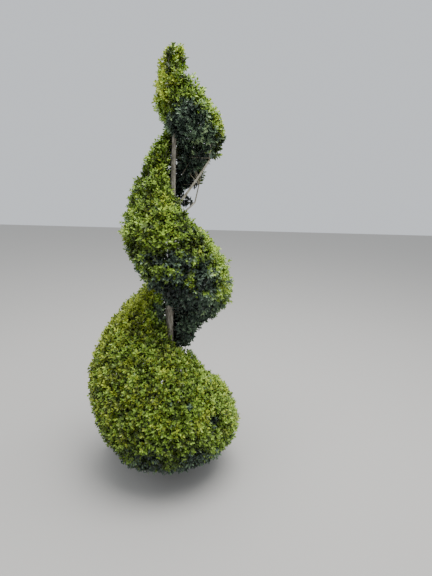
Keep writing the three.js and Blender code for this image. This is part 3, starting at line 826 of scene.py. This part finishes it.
# Painted shade: leaves further under the outline are painted darker.
SHADE_DEPTH = 0.075
SHADE_TONE = 0.28
SPRAY_TONE_PLAY = 0.08
LEAF_TONE_PLAY = 0.05
SPRAY_WARMTH_PLAY = 0.06
LEAF_WARMTH_PLAY = 0.04
GOLDEN_WARMTH = 0.62
GREEN_WARMTH = 0.36
LEAF_HUES = ("golden", "green", "bluish")
LEAF_SHADES = {
    "deep": ("#3a4015", "#303c17", "#262e2a"),
    "dark": ("#525c1c", "#475922", "#3a483d"),
    "middle": ("#707d27", "#647b2d", "#536452"),
    "light": ("#8f9f33", "#809d3a", "#708768"),
    "young": ("#b4c347", "#a5c150", "#9db482"),
}
# Tone here is partly the leaves' own colour and partly painted light: lighter on the lit right rims, darker
# on the shaded right flank.
TONES_BY_TURN = [
    {"turn": -0.75, "tone": 0.95, "warmth": 0.61},
    {"turn": 0.15, "tone": 0.95, "warmth": 0.61},
    {"turn": 0.24, "tone": 0.56, "warmth": 0.48},
    {"turn": 0.34, "tone": 0.52, "warmth": 0.48},
    {"turn": 0.45, "tone": 0.60, "warmth": 0.54},
    {"turn": 0.75, "tone": 0.56, "warmth": 0.46},
    {"turn": 1.00, "tone": 0.60, "warmth": 0.54},
    {"turn": 1.22, "tone": 0.58, "warmth": 0.54},
    {"turn": 1.36, "tone": 0.54, "warmth": 0.46},
    {"turn": 1.41, "tone": 0.80, "warmth": 0.50},
    {"turn": 1.52, "tone": 0.78, "warmth": 0.50},
    {"turn": 1.70, "tone": 0.58, "warmth": 0.48},
    {"turn": 1.97, "tone": 0.66, "warmth": 0.68},
    {"turn": 2.12, "tone": 0.52, "warmth": 0.62},
    {"turn": 2.28, "tone": 0.52, "warmth": 0.58},
    {"turn": 2.38, "tone": 0.68, "warmth": 0.56},
    {"turn": 2.60, "tone": 0.66, "warmth": 0.56},
    {"turn": 2.95, "tone": 0.56, "warmth": 0.54},
]
# Painted light and shade: leaves facing the sky are painted lighter, those facing down darker and bluer.
PAINTED_TOP_LIGHT = 0.12
PAINTED_UNDERSIDE_SHADE = 0.20
PAINTED_UNDERSIDE_SHADE_WARMTH = 0.22
# Painted shade towards the trunk on the band's lower side: darker leaves.
PAINTED_INWARD_SHADE = 0.40
# Painted shade in hollows: shoots that end deeper than usual get darker leaves, those that stand out lighter
# ones.
PAINTED_HOLLOW_SHADE = 7
PAINTED_HOLLOW_SHADE_LIMIT = 0.02
# The painted shade towards the trunk is also bluer.
PAINTED_INWARD_SHADE_WARMTH = 0.60
COLOUR_PATCHES_PER_METRE = 12
PATCH_TONE = 0.08
PATCH_WARMTH = 0.10
WARMTH_PATCH_SHIFT = 50


def plain_colour(code):
    """A colour code as linear light, by the sRGB standard's curve"""
    values = np.array([int(code[i:i + 2], 16) / 255 for i in (1, 3, 5)])
    return (*np.where(values <= 0.04045, values / 12.92, ((values + 0.055) / 1.055) ** 2.4), 1)


def leaf_material(name, code):
    material = bpy.data.materials.new(name)
    material.use_nodes = True
    shader = material.node_tree.nodes["Principled BSDF"]
    shader.inputs["Base Color"].default_value = plain_colour(code)
    shader.inputs["Roughness"].default_value = LEAF_ROUGHNESS
    shader.inputs["Specular IOR Level"].default_value = LEAF_SHINE
    return material


def leaf_blade():
    """One oval blade a unit long, folded up from its midrib: width, place along it and rise of its edge"""
    half = LEAF_WIDTH_SHARE / 2
    base, tip = (0, 0, 0), (0, 1, -BLADE_TIP_DROP)
    right_edge = [(half * width, along, rise) for width, along, rise in BLADE_EDGE]
    left_edge = [(-half * width, along, rise) for width, along, rise in reversed(BLADE_EDGE)]
    mesh = bpy.data.meshes.new("leaf_blade")
    mesh.from_pydata([base, *right_edge, tip, *left_edge], [], [(0, 1, 2), (0, 2, 3), (0, 3, 4), (0, 4, 5)])
    blade = bpy.data.objects.new("leaf_blade", mesh)
    bpy.context.scene.collection.objects.link(blade)
    return blade


def spray_tones(twigs, random):
    """The lightness and warmth of the leaves on each twig, from where on the plant it grows, with painted
    light and shade
    """
    turns = [station["turn"] for station in TONES_BY_TURN]
    tone, warmth = (np.interp(twigs["turn"], turns, [station[key] for station in TONES_BY_TURN])
                    for key in ("tone", "warmth"))
    upward = twigs["normal"][:, 2]
    # Painted light on tops that face the sky, painted shade on undersides.
    tone += np.where(upward > 0, PAINTED_TOP_LIGHT, PAINTED_UNDERSIDE_SHADE) * upward
    # Painted shade: on the band's lower side, leaves nearer the trunk are darker and bluer.
    reach = np.hypot(twigs["point"][:, 0] - trunk_offset(twigs["point"][:, 2]), twigs["point"][:, 1])
    inward = np.where(twigs["across"] < 0, 1 - reach / band_measure("reach", twigs["turn"]), 0)
    tone += place_effect(twigs["point"], "tone") - PAINTED_INWARD_SHADE * inward
    # Painted shade in hollows, and painted light on shoots that stand out.
    tone -= PAINTED_HOLLOW_SHADE * np.clip(twigs["depth"] - twigs["depth"].mean(), -PAINTED_HOLLOW_SHADE_LIMIT, PAINTED_HOLLOW_SHADE_LIMIT)
    warmth += place_effect(twigs["point"], "warmth") - PAINTED_INWARD_SHADE_WARMTH * inward
    # The painted shade on undersides is also bluer.
    warmth += PAINTED_UNDERSIDE_SHADE_WARMTH * np.minimum(upward, 0)
    play = place_effect(twigs["point"], "play") * random.normal(size=len(tone))
    tone += play
    warmth += play
    pale_patches = patch_noise(twigs["point"], COLOUR_PATCHES_PER_METRE)
    warm_patches = patch_noise(twigs["point"], COLOUR_PATCHES_PER_METRE, WARMTH_PATCH_SHIFT)
    tone += PATCH_TONE * pale_patches + twigs["tuft_tone"] + random.normal(0, SPRAY_TONE_PLAY, len(tone))
    warmth += PATCH_WARMTH * warm_patches + random.normal(0, SPRAY_WARMTH_PLAY, len(tone))
    return tone, warmth


leaf_sets = []
for leafing in LEAFING.values():
    twigs = leafing["twigs"]
    count = len(twigs["turn"])
    twig_length = np.linalg.norm(twigs["tip"] - twigs["start"], axis=1)
    tone, warmth = spray_tones(twigs, random)
    vigour = random.uniform(*VIGOUR_RANGE, count)
    reference = unit(random.normal(size=(count, 3)))
    sky_side = unit(SKY_OUTWARD * twigs["normal"] + np.array((0, 0, 1)))
    for pair in range(leafing["pairs"]):
        youth = max(0, 1 - pair / leafing["young_pairs"]) if leafing["young_pairs"] else 0
        below_tip = pair * leafing["apart"] * vigour
        share = 1 - below_tip / np.maximum(twig_length, SHORTEST_TWIG)
        column = share[:, None]
        root = curve_points(twigs["start"], twigs["bend"], twigs["tip"], share)
        direction = (1 - column) * (twigs["bend"] - twigs["start"]) + column * (twigs["tip"] - twigs["bend"])
        direction = unit(direction)
        first = unit(np.cross(direction, reference))
        second = np.cross(direction, first)
        turned = random.normal(pair * math.pi / 2, PAIR_TURN_PLAY, count)[:, None]
        sideways = first * np.cos(turned) + second * np.sin(turned)
        shade = np.clip((twigs["depth"] + below_tip) / SHADE_DEPTH, 0, 1)
        usual_spread = OLD_SPREAD + (TIP_SPREAD - OLD_SPREAD) * youth
        for hand in (-1, 1):
            spread = random.normal(usual_spread, SPREAD_PLAY, count)[:, None]
            axis = direction * np.cos(spread) + hand * sideways * np.sin(spread)
            face = unit(direction + FACE_SKYWARD * sky_side + FACE_PLAY * random.normal(size=axis.shape))
            length = LEAF_LENGTH * vigour * (1 - (1 - TIP_LEAF_SHARE) * youth)
            length *= random.uniform(*LENGTH_RANGE, count)
            leaf_tone = tone + OLD_TONE + (YOUNG_TONE - OLD_TONE) * youth - SHADE_TONE * shade
            leaf_tone += random.normal(0, LEAF_TONE_PLAY, count)
            shade_number = np.clip(np.floor(leaf_tone * len(LEAF_SHADES)), 0, len(LEAF_SHADES) - 1)
            leaf_warmth = warmth + random.normal(0, LEAF_WARMTH_PLAY, count)
            hue_number = np.where(leaf_warmth > GOLDEN_WARMTH, 0, np.where(leaf_warmth > GREEN_WARMTH, 1, 2))
            kind = (len(LEAF_HUES) * shade_number + hue_number).astype(int)
            kept = (share > LOWEST_LEAF_SHARE) & (random.uniform(size=count) > LEAF_LOSS)
            kept &= in_band(root + axis * length[:, None], twigs["turn"])
            leaf_sets.append([values[kept] for values in (root, axis, face, length, kind)])
roots, axes, faces, lengths, kinds = (np.concatenate(values) for values in zip(*leaf_sets))

leaf_sockets = {"Blade": "NodeSocketObject", "Material": "NodeSocketMaterial"}
leaf_tree, leaf_input, leaf_output = node_tree("leaf_pairs", leaf_sockets)
blade_info = leaf_tree.nodes.new("GeometryNodeObjectInfo")
leaf_turn = leaf_tree.nodes.new("FunctionNodeAxesToRotation")
leaf_turn.primary_axis = "Y"
leaf_turn.secondary_axis = "Z"
leaf_points = leaf_tree.nodes.new("GeometryNodeInstanceOnPoints")
leaf_axis = named_attribute(leaf_tree, "leaf_axis", "FLOAT_VECTOR")
leaf_face = named_attribute(leaf_tree, "leaf_face", "FLOAT_VECTOR")
leaf_length = named_attribute(leaf_tree, "leaf_length", "FLOAT")
leaf_tree.links.new(leaf_input.outputs["Blade"], blade_info.inputs["Object"])
leaf_tree.links.new(leaf_input.outputs["Geometry"], leaf_points.inputs["Points"])
leaf_tree.links.new(blade_info.outputs["Geometry"], leaf_points.inputs["Instance"])
leaf_tree.links.new(leaf_axis, leaf_turn.inputs["Primary Axis"])
leaf_tree.links.new(leaf_face, leaf_turn.inputs["Secondary Axis"])
leaf_tree.links.new(leaf_turn.outputs["Rotation"], leaf_points.inputs["Rotation"])
leaf_tree.links.new(leaf_length, leaf_points.inputs["Scale"])
finish_tree(leaf_tree, leaf_points.outputs["Instances"], leaf_input, leaf_output)

blade = leaf_blade()
kind_number = 0
for shade_name, codes in LEAF_SHADES.items():
    for hue_name, code in zip(LEAF_HUES, codes):
        dealt = kinds == kind_number
        kind_number += 1
        name = shade_name + "_" + hue_name + "_leaves"
        mesh = bpy.data.meshes.new(name)
        mesh.from_pydata(roots[dealt].tolist(), [], [])
        write_attribute(mesh, "leaf_axis", "FLOAT_VECTOR", axes[dealt])
        write_attribute(mesh, "leaf_face", "FLOAT_VECTOR", faces[dealt])
        write_attribute(mesh, "leaf_length", "FLOAT", lengths[dealt])
        grown_piece(name, mesh, leaf_tree, {"Blade": blade, "Material": leaf_material(name, code)},
                    mass_names)
bpy.data.objects.remove(blade)

# The studio
# A plain pale floor, and soft light like an overcast sky: even from all round, strongest from above.
FLOOR_SIZE = 14
FLOOR_COLOUR = (0.48, 0.465, 0.44, 1)
FLOOR_ROUGHNESS = 0.9
SKY_COLOUR = (0.86, 0.90, 0.95, 1)
SKY_LIGHT = 0.86
SOFTBOX_SIZE = 3.2
SOFTBOX_WATTS = 235
SOFTBOX_PLACE = (0.5, -0.3, 4.0)
SOFTBOX_AIM = (0, 0, 1)

floor_mesh = bpy.data.meshes.new("studio_floor")
half = FLOOR_SIZE / 2
floor_corners = [(-half, -half, 0), (half, -half, 0), (half, half, 0), (-half, half, 0)]
floor_mesh.from_pydata(floor_corners, [], [(0, 1, 2, 3)])
floor = bpy.data.objects.new("studio_floor", floor_mesh)
bpy.context.scene.collection.objects.link(floor)
floor_material = bpy.data.materials.new("studio_floor")
floor_material.use_nodes = True
floor_shader = floor_material.node_tree.nodes["Principled BSDF"]
floor_shader.inputs["Base Color"].default_value = FLOOR_COLOUR
floor_shader.inputs["Roughness"].default_value = FLOOR_ROUGHNESS
floor_mesh.materials.append(floor_material)

world = bpy.data.worlds.new("overcast")
world.use_nodes = True
world.node_tree.nodes["Background"].inputs["Color"].default_value = SKY_COLOUR
world.node_tree.nodes["Background"].inputs["Strength"].default_value = SKY_LIGHT
bpy.context.scene.world = world

softbox = bpy.data.objects.new("softbox", bpy.data.lights.new("softbox", "AREA"))
softbox.data.shape = "SQUARE"
softbox.data.size = SOFTBOX_SIZE
softbox.data.energy = SOFTBOX_WATTS
softbox.location = SOFTBOX_PLACE
softbox.rotation_euler = (Vector(SOFTBOX_AIM) - Vector(SOFTBOX_PLACE)).to_track_quat("-Z", "Y").to_euler()
bpy.context.scene.collection.objects.link(softbox)
